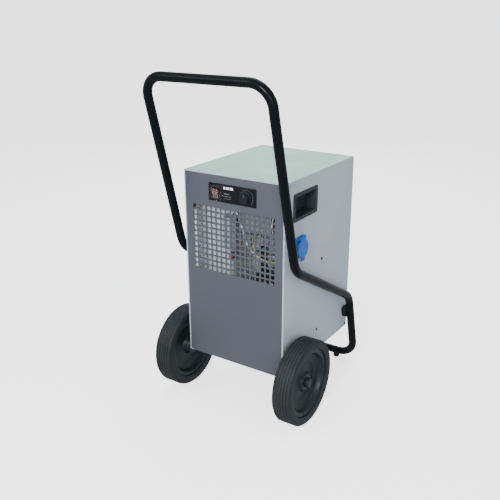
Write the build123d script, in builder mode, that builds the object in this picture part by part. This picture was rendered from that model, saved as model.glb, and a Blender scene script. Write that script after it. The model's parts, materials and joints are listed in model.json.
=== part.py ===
"""Wheeled refrigerant dehumidifier: sheet-metal housing on a bent tube frame.

Units are millimetres. X runs across the machine, Y from the handle side to the
back, Z up. The origin is on the floor under the middle of the footprint.
"""
from build123d import *
import os
from math import atan2, cos, degrees, radians, sin

os.makedirs("parts", exist_ok=True)

# ---------------------------------------------------------------- driving sizes
housing_width = 329
housing_depth = 407
housing_height = 563
housing_bottom = 137.5
sheet = 1.2
gap = 0.3

half_footprint = 285
tube_radius = 12.5
tube_wall = 2
wheel_radius = 125
wheel_width = 55
wheel_inner_x = 179.5
axle_radius = 10
axle_from_front = 39

front_y = -156
rear_y = front_y + housing_depth
half_width = housing_width / 2
inner_x = half_width - sheet
housing_top = housing_bottom + housing_height

axle_y = front_y + axle_from_front
axle_z = wheel_radius

# planes on the outer faces; their local Y is up
front_plane = Plane(origin=(0, front_y, 0), x_dir=(1, 0, 0), z_dir=(0, -1, 0))
rear_plane = Plane(origin=(0, rear_y, 0), x_dir=(-1, 0, 0), z_dir=(0, 1, 0))


def save(builder, name):
    """Label a finished piece and write its STEP file."""
    builder.part.label = name
    export_step(builder.part, f"parts/{name}.step")


def side_plane(side, x):
    """Plane square to X at side * x, facing outwards, with up as its local Y."""
    return Plane(origin=(side * x, 0, 0), x_dir=(0, side, 0), z_dir=(side, 0, 0))


# ---------------------------------------------------------------- tube frame
leg_x = 189.5
stand_y = half_footprint - tube_radius
stand_z = 22.5
handle_y = -stand_y
handle_z = 962.8
knee = (leg_x, 211, 261.5)
waist = (leg_x, -140.4, 462.3)
bend_stand = 58
bend_knee = 70
bend_waist = 80
bend_handle = 58
bolt_radius = 4
bolt_clearance = 4.3
nut_radius = 6.5
nut_height = 5.3


def leg_point(start, end, along):
    """Point on the straight tube from start to end, and its angle in the YZ plane."""
    y = start[1] + (end[1] - start[1]) * along
    z = start[2] + (end[2] - start[2]) * along
    angle = degrees(atan2(end[2] - start[2], end[1] - start[1]))
    return y, z, angle


stand_corner = (leg_x, stand_y, stand_z)
saddle_places = [
    leg_point(waist, knee, 0.20),
    leg_point(waist, knee, 0.72),
    leg_point(knee, stand_corner, 0.26),
]
saddle_sizes = [(24, 15), (24, 15), (30, 24)]

with BuildPart() as tube_frame:
    with BuildLine():
        FilletPolyline(
            (0, stand_y, stand_z),
            stand_corner,
            knee,
            waist,
            (leg_x, handle_y, handle_z),
            (0, handle_y, handle_z),
            radius=[bend_stand, bend_knee, bend_waist, bend_handle],
        )
    with BuildSketch(Plane(origin=(0, stand_y, stand_z), x_dir=(0, 1, 0), z_dir=(1, 0, 0))):
        Circle(tube_radius)
        Circle(tube_radius - tube_wall, mode=Mode.SUBTRACT)
    sweep()
    for y, z, angle in saddle_places:
        with BuildSketch(side_plane(1, leg_x - tube_radius - 1)):
            with Locations((y, z)):
                Circle(bolt_clearance)
        extrude(amount=tube_radius, mode=Mode.SUBTRACT)
    mirror(about=Plane.YZ)
save(tube_frame, "tube_frame")

saddle_wrap = 4
saddle_clearance = 0.1
with BuildPart() as frame_saddles:
    for (y, z, angle), (saddle_length, saddle_width) in zip(saddle_places, saddle_sizes):
        along_tube = Plane(
            origin=(leg_x, y, z),
            x_dir=(1, 0, 0),
            z_dir=(0, cos(radians(angle)), sin(radians(angle))),
        )
        with BuildSketch(along_tube):
            with Locations((half_width - leg_x, 0)):
                Rectangle(
                    leg_x - tube_radius + saddle_wrap - half_width,
                    saddle_width,
                    align=(Align.MIN, Align.CENTER),
                )
            Circle(tube_radius + saddle_clearance, mode=Mode.SUBTRACT)
        extrude(amount=saddle_length / 2, both=True)
        with BuildSketch(side_plane(1, half_width - 1)):
            with Locations((y, z)):
                Circle(bolt_clearance)
        extrude(amount=leg_x - half_width, mode=Mode.SUBTRACT)
    mirror(about=Plane.YZ)
save(frame_saddles, "frame_saddles")

bolt_length = 25
with BuildPart() as frame_bolts:
    for y, z, angle in saddle_places:
        with BuildSketch(side_plane(1, inner_x)):
            with Locations((y, z)):
                Circle(bolt_radius)
        extrude(amount=bolt_length)
        with BuildSketch(side_plane(1, inner_x)):
            with Locations((y, z)):
                RegularPolygon(radius=nut_radius, side_count=6, major_radius=False)
        extrude(amount=-nut_height)
    mirror(about=Plane.YZ)
save(frame_bolts, "frame_bolts")

foot_x = 126
foot_radius = 10
foot_rim = 1.5
foot_height = stand_z - tube_radius + 5
with BuildPart() as stand_feet:
    with BuildSketch():
        with Locations((-foot_x, stand_y), (foot_x, stand_y)):
            Circle(foot_radius)
    extrude(amount=foot_height)
    fillet(stand_feet.edges().sort_by(Axis.Z)[:2], foot_rim)
    # saddle shape that takes the tube
    with BuildSketch(Plane(origin=(0, stand_y, stand_z), z_dir=(1, 0, 0))):
        Circle(tube_radius + 0.05)
    extrude(amount=foot_x + 2 * foot_radius, both=True, mode=Mode.SUBTRACT)
save(stand_feet, "stand_feet")

# ---------------------------------------------------------------- housing shell
lid_flange = 12
lid_front_hem = 3
strip_width = 5
return_width = 14
side_top = housing_top - lid_flange - gap
front_panel_bottom = housing_bottom + 2
front_panel_top = housing_top - lid_front_hem - gap
base_thickness = 1.5
base_top = housing_bottom + base_thickness
base_flange = 22

grille_pitch = 16.15
grille_columns = 17
grille_rows = 12
grille_hole = 11.2
grille_corner = 1.8
grille_z = 510.5

fascia_width = 155
fascia_height = 51
fascia_z = 650
fascia_overlap = 4

# side fixtures, as (y, z) centres
grip_y, grip_z = -46.5, 625
grip_width, grip_height = 133, 78
grip_bezel = 10
grip_overlap = 6
socket_y, socket_z = -75.5, 507.5
socket_barrel_radius = 22
socket_hole_radius = 22.5
side_screws = [(60, 432), (40.5, 210), (243, 147)]
screw_radius = 2
screw_clearance = 2.2

with BuildPart() as front_panel:
    with BuildSketch(front_plane):
        with Locations((0, front_panel_bottom)):
            Rectangle(
                housing_width - 2 * strip_width,
                front_panel_top - front_panel_bottom,
                align=(Align.CENTER, Align.MIN),
            )
        with Locations((0, grille_z)):
            with GridLocations(grille_pitch, grille_pitch, grille_columns, grille_rows):
                RectangleRounded(grille_hole, grille_hole, grille_corner, mode=Mode.SUBTRACT)
        with Locations((0, fascia_z)):
            Rectangle(
                fascia_width - 2 * fascia_overlap,
                fascia_height - 2 * fascia_overlap,
                mode=Mode.SUBTRACT,
            )
    extrude(amount=-sheet)
save(front_panel, "front_panel")

for side, side_name in ((-1, "left"), (1, "right")):
    with BuildPart() as side_panel:
        with BuildSketch(Plane.XY.offset(housing_bottom)):
            # plan of the bent sheet: long wall and the return behind the front panel
            with BuildLine():
                Polyline(
                    (side * half_width, rear_y),
                    (side * half_width, front_y + sheet),
                    (side * (half_width - return_width), front_y + sheet),
                    (side * (half_width - return_width), front_y + 2 * sheet),
                    (side * inner_x, front_y + 2 * sheet),
                    (side * inner_x, rear_y),
                    close=True,
                )
            make_face()
        extrude(amount=side_top - housing_bottom)
        outer = side_plane(side, half_width)
        with BuildSketch(outer):
            with Locations((side * grip_y, grip_z)):
                Rectangle(grip_width - 2 * grip_overlap, grip_height - 2 * grip_overlap)
            for y, z, angle in saddle_places:
                with Locations((side * y, z)):
                    Circle(bolt_clearance)
            for y, z in side_screws:
                with Locations((side * y, z)):
                    Circle(screw_clearance)
            if side > 0:
                with Locations((socket_y, socket_z)):
                    Circle(socket_hole_radius)
        extrude(amount=-sheet, mode=Mode.SUBTRACT)
    save(side_panel, f"side_panel_{side_name}")

lid_corner = 2.5
lid_edge = 1.1
lid_middle = (0, (front_y + rear_y) / 2)
with BuildPart() as top_lid:
    with BuildSketch(Plane.XY.offset(housing_top - lid_flange)):
        with Locations(lid_middle):
            Rectangle(housing_width, housing_depth)
    extrude(amount=lid_flange)
    fillet(top_lid.edges().filter_by(Axis.Z), lid_corner)
    fillet(top_lid.faces().sort_by(Axis.Z)[-1].edges(), lid_edge)
    with BuildSketch(Plane.XY.offset(housing_top - lid_flange)):
        with Locations(lid_middle):
            Rectangle(housing_width - 2 * sheet, housing_depth - 2 * sheet)
    extrude(amount=lid_flange - sheet, mode=Mode.SUBTRACT)
    # the front keeps only a short hem above the front panel
    with BuildSketch(Plane.XY.offset(housing_top - lid_flange)):
        with Locations((0, front_y)):
            Rectangle(housing_width, 2 * sheet + 2)
    extrude(amount=lid_flange - lid_front_hem, mode=Mode.SUBTRACT)
save(top_lid, "top_lid")

# rear panel: fan outlet above, tank opening below
fan_x, fan_z = -57, 480
outlet_radius = 101
tank_opening_width = 270
tank_opening_bottom = housing_bottom + 1.7
tank_opening_top = 328
gland_x, gland_z = 120, 372
gland_hole_radius = 10
rear_half = inner_x - 0.2
rear_top = side_top - 0.5
rear_flange = 12
rear_flange_bottom = housing_bottom + base_flange + 10

with BuildPart() as rear_panel:
    with BuildSketch(rear_plane):
        with Locations((0, housing_bottom)):
            Rectangle(2 * rear_half, rear_top - housing_bottom, align=(Align.CENTER, Align.MIN))
        with Locations((-fan_x, fan_z)):
            Circle(outlet_radius, mode=Mode.SUBTRACT)
        with Locations((0, tank_opening_bottom)):
            Rectangle(
                tank_opening_width,
                tank_opening_top - tank_opening_bottom,
                align=(Align.CENTER, Align.MIN),
                mode=Mode.SUBTRACT,
            )
        with Locations((-gland_x, gland_z)):
            Circle(gland_hole_radius, mode=Mode.SUBTRACT)
    extrude(amount=-sheet)
    for side in (-1, 1):
        with BuildSketch(Plane.XY.offset(rear_flange_bottom)):
            with Locations((side * (rear_half - sheet / 2), rear_y - sheet)):
                Rectangle(sheet, rear_flange, align=(Align.CENTER, Align.MAX))
        extrude(amount=rear_top - rear_flange_bottom)
save(rear_panel, "rear_panel")

base_front = front_y + 2 * sheet + 0.2
base_rear = rear_y - sheet - 0.2
base_half = inner_x - 0.2
compressor_x, compressor_y = 85, -75
mount_circle = 68
mount_count = 3
axle_bracket_x = 140
bracket_flange = 34
bracket_bolt_x = axle_bracket_x - 18
bracket_bolt_pitch = 44
base_hole_radius = 3.3
with BuildPart() as base_pan:
    with BuildSketch(Plane.XY.offset(housing_bottom)):
        with Locations((0, (base_front + base_rear) / 2)):
            Rectangle(2 * base_half, base_rear - base_front)
    extrude(amount=base_flange)
    with BuildSketch(Plane.XY.offset(base_top)):
        with Locations((0, (base_front + base_rear) / 2)):
            Rectangle(2 * (base_half - base_thickness), base_rear - base_front - 2 * base_thickness)
    extrude(amount=base_flange, mode=Mode.SUBTRACT)
    # front lip under the front panel
    with BuildSketch(Plane.XY.offset(housing_bottom)):
        with Locations((0, base_front)):
            Rectangle(2 * (half_width - return_width) - 1, 2 * sheet, align=(Align.CENTER, Align.MAX))
    extrude(amount=base_thickness)
    # the rear wall is open where the tank slides in
    with BuildSketch(Plane.XY.offset(base_top)):
        with Locations((0, base_rear)):
            Rectangle(tank_opening_width, 8)
    extrude(amount=base_flange, mode=Mode.SUBTRACT)
    with BuildSketch(Plane.XY.offset(housing_bottom)):
        with Locations((compressor_x, compressor_y)):
            with PolarLocations(mount_circle, mount_count, start_angle=180):
                Circle(base_hole_radius)
        with Locations((-bracket_bolt_x, axle_y), (bracket_bolt_x, axle_y)):
            with GridLocations(0, bracket_bolt_pitch, 1, 2):
                Circle(base_hole_radius)
    extrude(amount=base_thickness, mode=Mode.SUBTRACT)
save(base_pan, "base_pan")

deck_z = 334.5
deck_half = rear_half - sheet - gap
bulkhead_x = 47
chamber_front = -12
casing_front = -110.5
deck_step_x = -19
drain_x, drain_y = -60, 2
drain_hole_radius = 9
with BuildPart() as machine_deck:
    with BuildSketch(Plane.XY.offset(deck_z)):
        with Locations((0, chamber_front)):
            Rectangle(2 * deck_half, base_rear - chamber_front, align=(Align.CENTER, Align.MIN))
        with Locations((-deck_half, chamber_front)):
            Rectangle(deck_half + deck_step_x, chamber_front - casing_front, align=(Align.MIN, Align.MAX))
        with Locations((drain_x, drain_y)):
            Circle(drain_hole_radius, mode=Mode.SUBTRACT)
    extrude(amount=sheet)
save(machine_deck, "machine_deck")
deck_top = deck_z + sheet

chamber_top = 592.3
with BuildPart() as bulkhead:
    with BuildSketch(Plane(origin=(0, chamber_front, 0), x_dir=(1, 0, 0), z_dir=(0, -1, 0))):
        with Locations((-deck_half, chamber_top)):
            Rectangle(bulkhead_x + deck_half, sheet, align=(Align.MIN, Align.MIN))
        with Locations((bulkhead_x, deck_top)):
            Rectangle(sheet, chamber_top + sheet - deck_top, align=(Align.MAX, Align.MIN))
    extrude(amount=chamber_front - base_rear)
    # closing wall beside the coils
    with BuildSketch(Plane(origin=(0, chamber_front, 0), x_dir=(1, 0, 0), z_dir=(0, -1, 0))):
        with Locations((deck_step_x, deck_top)):
            Rectangle(bulkhead_x - deck_step_x, chamber_top - deck_top, align=(Align.MIN, Align.MIN))
    extrude(amount=-sheet)
save(bulkhead, "bulkhead")

# ---------------------------------------------------------------- coils
coil_left, coil_right = -142, -37
coil_depth = 43
row_pitch = 19
row_count = 12
first_row_z = 367
column_pitch = 21.5
coil_tube_radius = 3.5
casing_left, casing_right = -157.5, -21
casing_bottom, casing_top = 353, 592
casing_wall = 0.8
casing_flange_left = -161
evaporator_y = -85
condenser_y = -36
fin_bottom = first_row_z - 12
fin_height = (row_count - 1) * row_pitch + 22
tube_stub_x = casing_right - 3


def serpentine(y, stub_x):
    """Draw one tube's centre line, to and fro through the fins at depth y."""
    turn = row_pitch / 2
    for row in range(row_count):
        z = first_row_z + row * row_pitch
        going_left = row % 2 == 0
        start = coil_right if going_left else coil_left
        end = coil_left if going_left else coil_right
        if row == 0:
            start = stub_x
        if row == row_count - 1:
            end = stub_x
        Line((start, y, z), (end, y, z))
        if row < row_count - 1:
            bulge = end - turn if going_left else end + turn
            ThreePointArc((end, y, z), (bulge, y, z + turn), (end, y, z + row_pitch))


for coil_name, coil_y in (("evaporator", evaporator_y), ("condenser", condenser_y)):
    with BuildPart() as fins:
        with BuildSketch(Plane(origin=(coil_left, coil_y, 0), x_dir=(0, 1, 0), z_dir=(1, 0, 0))):
            with Locations((0, fin_bottom)):
                Rectangle(coil_depth, fin_height, align=(Align.CENTER, Align.MIN))
            with Locations((0, first_row_z + (row_count - 1) * row_pitch / 2)):
                with GridLocations(column_pitch, row_pitch, 2, row_count):
                    Circle(coil_tube_radius + 0.1, mode=Mode.SUBTRACT)
        extrude(amount=coil_right - coil_left)
    save(fins, f"{coil_name}_fins")
    with BuildPart() as coil_tubes:
        for column in (-0.5, 0.5):
            tube_y = coil_y + column * column_pitch
            with BuildLine():
                serpentine(tube_y, tube_stub_x)
            with BuildSketch(Plane(origin=(tube_stub_x, tube_y, first_row_z), z_dir=(1, 0, 0))):
                Circle(coil_tube_radius)
            sweep()
    save(coil_tubes, f"{coil_name}_tubes")

with BuildPart() as coil_casing:
    with BuildSketch(Plane(origin=(0, casing_front, 0), x_dir=(1, 0, 0), z_dir=(0, -1, 0))):
        with Locations((casing_left, casing_bottom)):
            Rectangle(casing_right - casing_left, casing_top - casing_bottom, align=(Align.MIN, Align.MIN))
        with Locations((casing_left + casing_wall, casing_bottom + casing_wall)):
            Rectangle(
                casing_right - casing_left - 2 * casing_wall,
                casing_top - casing_bottom - 2 * casing_wall,
                align=(Align.MIN, Align.MIN),
                mode=Mode.SUBTRACT,
            )
    extrude(amount=casing_front - chamber_front + gap)
    # front flange that hides the tube bends
    with BuildSketch(Plane(origin=(0, casing_front, 0), x_dir=(1, 0, 0), z_dir=(0, -1, 0))):
        with Locations((casing_flange_left, casing_bottom)):
            Rectangle(
                coil_left - casing_flange_left,
                casing_top - casing_bottom,
                align=(Align.MIN, Align.MIN),
            )
    extrude(amount=-casing_wall)
save(coil_casing, "coil_casing")

tray_bottom, tray_top = deck_top + 0.5, 352.5
tray_wall = 1.5
drain_z = tray_bottom + 7
drain_radius, drain_bore = 5, 3.5
with BuildPart() as drip_tray:
    with BuildSketch(Plane.XY.offset(tray_bottom)):
        with Locations((casing_left, casing_front)):
            Rectangle(
                casing_right - casing_left,
                chamber_front - casing_front - 1,
                align=(Align.MIN, Align.MIN),
            )
    extrude(amount=tray_top - tray_bottom)
    with BuildSketch(Plane.XY.offset(tray_bottom + tray_wall)):
        with Locations((casing_left + tray_wall, casing_front + tray_wall)):
            Rectangle(
                casing_right - casing_left - 2 * tray_wall,
                chamber_front - casing_front - 1 - 2 * tray_wall,
                align=(Align.MIN, Align.MIN),
            )
    extrude(amount=tray_top, mode=Mode.SUBTRACT)
    # spigot for the drain tube
    with BuildSketch(Plane(origin=(drain_x, chamber_front - 3, drain_z), z_dir=(0, 1, 0))):
        Circle(drain_radius)
    extrude(amount=7)
    with BuildSketch(Plane(origin=(drain_x, chamber_front - 6, drain_z), z_dir=(0, 1, 0))):
        Circle(drain_bore)
    extrude(amount=12, mode=Mode.SUBTRACT)
save(drip_tray, "drip_tray")

tank_top = 318
drain_start = (drain_x, chamber_front + 4.1, drain_z)
with BuildPart() as drain_tube:
    with BuildLine():
        FilletPolyline(
            drain_start,
            (drain_x, drain_y, drain_z),
            (drain_x, drain_y, tank_top + 4),
            radius=9,
        )
    with BuildSketch(Plane(origin=drain_start, z_dir=(0, 1, 0))):
        Circle(drain_radius)
        Circle(drain_bore, mode=Mode.SUBTRACT)
    sweep()
save(drain_tube, "drain_tube")

# ---------------------------------------------------------------- fan
shroud_y = 150
ring_length = 40
ring_inner = 100.5
shroud_left, shroud_right = -deck_half, bulkhead_x - sheet - gap
impeller_radius = 96.5
impeller_y = shroud_y + 6
hub_radius = 36
hub_length = 28
blade_count = 5
blade_chord = 46
blade_thickness = 2.4
blade_pitch = radians(32)
shaft_radius = 4
bracket_y = shroud_y + ring_length
bracket_thickness = 2.5
bracket_arm = 14
motor_radius = 42
motor_length = 46
motor_y = bracket_y + bracket_thickness


def fan_plane(y):
    """Plane square to the fan's axis at depth y, facing the back."""
    return Plane(origin=(fan_x, y, fan_z), x_dir=(-1, 0, 0), z_dir=(0, 1, 0))


with BuildPart() as fan_shroud:
    with BuildSketch(Plane(origin=(0, shroud_y, 0), x_dir=(1, 0, 0), z_dir=(0, -1, 0))):
        with Locations((shroud_left, deck_top + gap)):
            Rectangle(
                shroud_right - shroud_left,
                chamber_top - deck_top - 2 * gap,
                align=(Align.MIN, Align.MIN),
            )
    extrude(amount=-sheet)
    with BuildSketch(fan_plane(shroud_y)):
        Circle(ring_inner + sheet)
    extrude(amount=ring_length)
    with BuildSketch(fan_plane(shroud_y)):
        Circle(ring_inner)
    extrude(amount=ring_length, mode=Mode.SUBTRACT)
save(fan_shroud, "fan_shroud")

with BuildPart() as fan_impeller:
    with BuildSketch(fan_plane(impeller_y)):
        Circle(hub_radius)
    extrude(amount=hub_length)
    fillet(fan_impeller.faces().sort_by(Axis.Y)[0].edges(), 6)
    for blade in range(blade_count):
        around = radians(blade * 360 / blade_count)
        outward = Vector(cos(around), 0, sin(around))
        tangent = Vector(-sin(around), 0, cos(around))
        chord = tangent * cos(blade_pitch) + Vector(0, 1, 0) * sin(blade_pitch)
        root = Vector(fan_x, shroud_y + 20, fan_z) + outward * (hub_radius - 4)
        with BuildSketch(Plane(origin=root, x_dir=chord, z_dir=outward)):
            Rectangle(blade_chord, blade_thickness)
        extrude(amount=impeller_radius - hub_radius + 3)
    # trim the blades to the tip circle
    with BuildSketch(fan_plane(impeller_y)):
        Circle(impeller_radius)
    extrude(amount=60, mode=Mode.INTERSECT)
    with BuildSketch(fan_plane(impeller_y + hub_length)):
        Circle(shaft_radius)
    extrude(amount=motor_length - 4)
save(fan_impeller, "fan_impeller")

with BuildPart() as motor_bracket:
    with BuildSketch(fan_plane(bracket_y)):
        Circle(motor_radius + 4)
        for angle in (45, 135):
            Rectangle(2 * (ring_inner + sheet), bracket_arm, rotation=angle)
        Circle(22, mode=Mode.SUBTRACT)
    extrude(amount=bracket_thickness)
save(motor_bracket, "motor_bracket")

with BuildPart() as fan_motor:
    with BuildSketch(fan_plane(motor_y)):
        Circle(motor_radius)
    extrude(amount=motor_length - 4)
    fillet(fan_motor.faces().sort_by(Axis.Y)[-1].edges(), 8)
    with BuildSketch(fan_plane(motor_y)):
        Circle(shaft_radius + 0.05)
    extrude(amount=motor_length - 8, mode=Mode.SUBTRACT)
save(fan_motor, "fan_motor")

guard_wire = 1.6
guard_rings = [24, 44, 64, 84, 104]
guard_hub = 12
guard_spoke = 4.5
guard_y = rear_y + guard_wire + 0.1
with BuildPart() as outlet_guard:
    with Locations(Plane(origin=(fan_x, guard_y, fan_z), z_dir=(0, 1, 0))):
        for ring_radius in guard_rings:
            Torus(ring_radius, guard_wire)
    # flat spokes welded across the back of the rings
    with BuildSketch(fan_plane(guard_y + 0.6)):
        Circle(guard_hub)
        for angle in (0, 60, 120):
            Rectangle(2 * guard_rings[-1], guard_spoke, rotation=angle)
    extrude(amount=2.2)
save(outlet_guard, "outlet_guard")

# ---------------------------------------------------------------- refrigerant side
mount_height = 12
shell_bottom = base_top + mount_height + 4
shell_height = 262
shell_radius = 60
shell_top = shell_bottom + shell_height
foot_thickness = 4
foot_pad_radius = 12
stub_y = compressor_y + 4
terminal_x, terminal_y = compressor_x + 22, compressor_y - 12
with BuildPart() as compressor:
    with BuildSketch(Plane.XY.offset(shell_bottom)):
        with Locations((compressor_x, compressor_y)):
            Circle(shell_radius)
    extrude(amount=shell_height)
    fillet(compressor.edges().filter_by(GeomType.CIRCLE), 26)
    # three-armed foot plate
    with BuildSketch(Plane.XY.offset(shell_bottom - foot_thickness)):
        with Locations((compressor_x, compressor_y)):
            Circle(36)
            with PolarLocations(mount_circle, mount_count, start_angle=180):
                Circle(foot_pad_radius)
            with PolarLocations(mount_circle / 2, mount_count, start_angle=180):
                Rectangle(mount_circle, 2 * foot_pad_radius)
            with PolarLocations(mount_circle, mount_count, start_angle=180):
                Circle(6.2, mode=Mode.SUBTRACT)
    extrude(amount=foot_thickness + 0.2)
    # discharge stub and terminal cap
    with BuildSketch(Plane.XY.offset(shell_top)):
        with Locations((compressor_x, stub_y)):
            Circle(5)
    extrude(amount=-20)
    with BuildSketch(Plane.XY.offset(shell_top - 6)):
        with Locations((terminal_x, terminal_y)):
            Circle(15)
    extrude(amount=16)
    # hollow shell, open to its discharge stub
    with BuildSketch(Plane.XY.offset(shell_bottom + 16)):
        with Locations((compressor_x, compressor_y)):
            Circle(shell_radius - 10)
    extrude(amount=shell_height - 40, mode=Mode.SUBTRACT)
    with BuildSketch(Plane.XY.offset(shell_top - 60)):
        with Locations((compressor_x, stub_y)):
            Circle(2.4)
    extrude(amount=70, mode=Mode.SUBTRACT)
save(compressor, "compressor")

grommet_height = mount_height + 9
standing = (Align.CENTER, Align.CENTER, Align.MIN)
with BuildPart() as compressor_mounts:
    with Locations((compressor_x, compressor_y, base_top)):
        with PolarLocations(mount_circle, mount_count, start_angle=180):
            Cylinder(11, mount_height, align=standing)
            Cylinder(6, grommet_height, align=standing)
            Cylinder(3.2, grommet_height, align=standing, mode=Mode.SUBTRACT)
save(compressor_mounts, "compressor_mounts")

accumulator_x = -2
accumulator_bottom, accumulator_top = 196, 314
with BuildPart() as suction_accumulator:
    with BuildSketch(Plane.XY.offset(accumulator_bottom)):
        with Locations((accumulator_x, compressor_y)):
            Circle(21)
    extrude(amount=accumulator_top - accumulator_bottom)
    fillet(suction_accumulator.edges().filter_by(GeomType.CIRCLE), 12)
save(suction_accumulator, "suction_accumulator")

pipe_radius = 4
suction_inlet_z = 181
pipe_joint = 0.2


def save_pipes(name, *runs):
    """Make one node of round pipes; a run is its radius, its bend radius and its corner points."""
    with BuildPart() as pipes:
        for radius, bend, points in runs:
            with BuildLine():
                FilletPolyline(*points, radius=bend)
            with BuildSketch(Plane(origin=points[0], z_dir=Vector(*points[1]) - Vector(*points[0]))):
                Circle(radius)
            sweep()
    save(pipes, name)


evaporator_front_y = evaporator_y - column_pitch / 2
last_row_z = first_row_z + (row_count - 1) * row_pitch
save_pipes(
    "suction_pipe",
    (pipe_radius, 12, [
        (casing_right + pipe_joint, evaporator_front_y, first_row_z),
        (accumulator_x, evaporator_front_y, first_row_z),
        (accumulator_x, compressor_y, 345),
        (accumulator_x, compressor_y, accumulator_top + pipe_joint),
    ]),
    (pipe_radius, 9, [
        (accumulator_x, compressor_y, accumulator_bottom - pipe_joint),
        (accumulator_x, compressor_y, suction_inlet_z),
        (compressor_x - shell_radius - gap, compressor_y, suction_inlet_z),
    ]),
)

condenser_front_y = condenser_y - column_pitch / 2
condenser_rear_y = condenser_y + column_pitch / 2
save_pipes(
    "discharge_pipe",
    (3.2, [16, 16, 9], [
        (compressor_x, stub_y, shell_top + pipe_joint),
        (compressor_x, stub_y, 458),
        (-9, condenser_front_y, 462),
        (-9, condenser_front_y, last_row_z),
        (casing_right + pipe_joint, condenser_front_y, last_row_z),
    ]),
)

drier_x = 18
drier_bottom, drier_top = 388, 468
with BuildPart() as filter_drier:
    with BuildSketch(Plane.XY.offset(drier_bottom)):
        with Locations((drier_x, condenser_rear_y)):
            Circle(11)
    extrude(amount=drier_top - drier_bottom)
    fillet(filter_drier.edges().filter_by(GeomType.CIRCLE), 7)
save(filter_drier, "filter_drier")

save_pipes(
    "liquid_line",
    (pipe_radius - 1, 12, [
        (casing_right + pipe_joint, condenser_rear_y, first_row_z),
        (drier_x, condenser_rear_y, first_row_z),
        (drier_x, condenser_rear_y, drier_bottom - pipe_joint),
    ]),
    # capillary from the drier to the top of the evaporator
    (1.5, 8, [
        (drier_x, condenser_rear_y, drier_top + pipe_joint),
        (drier_x, condenser_rear_y, 508),
        (drier_x, evaporator_front_y, 516),
        (-12, evaporator_front_y, 524),
        (-12, evaporator_front_y, last_row_z),
        (casing_right + pipe_joint, evaporator_front_y, last_row_z),
    ]),
)

# ---------------------------------------------------------------- electrics
capacitor_x, capacitor_y, capacitor_z = -25, -132, 492
capacitor_height = 88
with BuildPart() as run_capacitor:
    with BuildSketch(Plane.XY.offset(capacitor_z)):
        with Locations((capacitor_x, capacitor_y)):
            Circle(19)
    extrude(amount=capacitor_height)
    fillet(run_capacitor.edges().filter_by(GeomType.CIRCLE), 2.5)
    # terminal blades
    with BuildSketch(Plane.XY.offset(capacitor_z + capacitor_height)):
        with Locations((capacitor_x, capacitor_y)):
            with GridLocations(14, 0, 2, 1):
                Rectangle(6, 0.8)
    extrude(amount=8)
save(run_capacitor, "run_capacitor")

pressure_switch_plane = Plane(origin=(-20, casing_front - 0.2, 462), x_dir=(1, 0, 0), z_dir=(0, -1, 0))
with BuildPart() as pressure_switch:
    with BuildSketch(pressure_switch_plane):
        Circle(8)
    extrude(amount=26)
    with BuildSketch(pressure_switch_plane.offset(7.8)):
        RegularPolygon(radius=9.5, side_count=6, major_radius=False)
    extrude(amount=7)
save(pressure_switch, "pressure_switch")

box_left, box_right = 0, 98
box_front, box_rear = -114, -22
box_bottom, box_top = 536, 682
box_wall = 2.5
box_wire_x, box_wire_y = 84, -104
box_wire_pitch = 14
box_width, box_depth, box_height = box_right - box_left, box_rear - box_front, box_top - box_bottom
box_middle = ((box_left + box_right) / 2, (box_front + box_rear) / 2, (box_bottom + box_top) / 2)
with BuildPart() as electrics_box:
    with Locations(box_middle):
        Box(box_width, box_depth, box_height)
    fillet(electrics_box.edges().filter_by(Axis.Y), 3)
    # raised cover on the front
    with BuildSketch(Plane(origin=(0, box_front, 0), x_dir=(1, 0, 0), z_dir=(0, -1, 0))):
        with Locations((box_middle[0], box_middle[2])):
            Rectangle(box_width - 8, box_height - 8)
    extrude(amount=2)
    with Locations(box_middle):
        Box(
            box_width - 2 * box_wall,
            box_depth - 2 * box_wall,
            box_height - 2 * box_wall,
            mode=Mode.SUBTRACT,
        )
    with BuildSketch(Plane.XY.offset(box_bottom)):
        with Locations((box_wire_x, box_wire_y), (box_wire_x - box_wire_pitch, box_wire_y)):
            Circle(4)
    extrude(amount=box_wall, mode=Mode.SUBTRACT)
save(electrics_box, "electrics_box")

wire_radius, wire_bend = 1.6, 13
save_pipes(
    "wires_blue",
    (wire_radius, wire_bend, [
        (box_wire_x, box_wire_y, box_bottom + 6),
        (box_wire_x, box_wire_y, 508),
        (56, -128, 482),
        (10, -131, 474),
        (capacitor_x, capacitor_y, 468),
        (capacitor_x, capacitor_y, capacitor_z - 0.2),
    ]),
    (wire_radius, wire_bend, [
        (box_wire_x - box_wire_pitch, box_wire_y, box_bottom + 6),
        (box_wire_x - box_wire_pitch, box_wire_y, 512),
        (98, -104, 484),
        (terminal_x, terminal_y, 458),
        (terminal_x, terminal_y, shell_top + 10.2),
    ]),
)

fascia_thickness = 2.5
rocker_x, rocker_z = -56, 648
rocker_width, rocker_height = 21, 28
bezel_width, bezel_height = 27, 34
bezel_thickness = 1.5
knob_x, knob_z = 47, 649
switch_depth = 24
face_plane = Plane(origin=(0, front_y - fascia_thickness, 0), x_dir=(1, 0, 0), z_dir=(0, -1, 0))

with BuildPart() as control_fascia:
    with BuildSketch(front_plane):
        with Locations((0, fascia_z)):
            RectangleRounded(fascia_width, fascia_height, 2)
    extrude(amount=fascia_thickness)
    fillet(control_fascia.faces().sort_by(Axis.Y)[0].edges(), 0.8)
    with BuildSketch(front_plane):
        with Locations((0, fascia_z)):
            Rectangle(fascia_width - 9, fascia_height - 9)
            Rectangle(fascia_width - 12, fascia_height - 12, mode=Mode.SUBTRACT)
    extrude(amount=-7)
    with BuildSketch(face_plane):
        with Locations((rocker_x, rocker_z)):
            Rectangle(bezel_width - 3, bezel_height - 3)
        with Locations((knob_x, knob_z)):
            Circle(5.2)
    extrude(amount=-12, mode=Mode.SUBTRACT)
save(control_fascia, "control_fascia")

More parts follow.
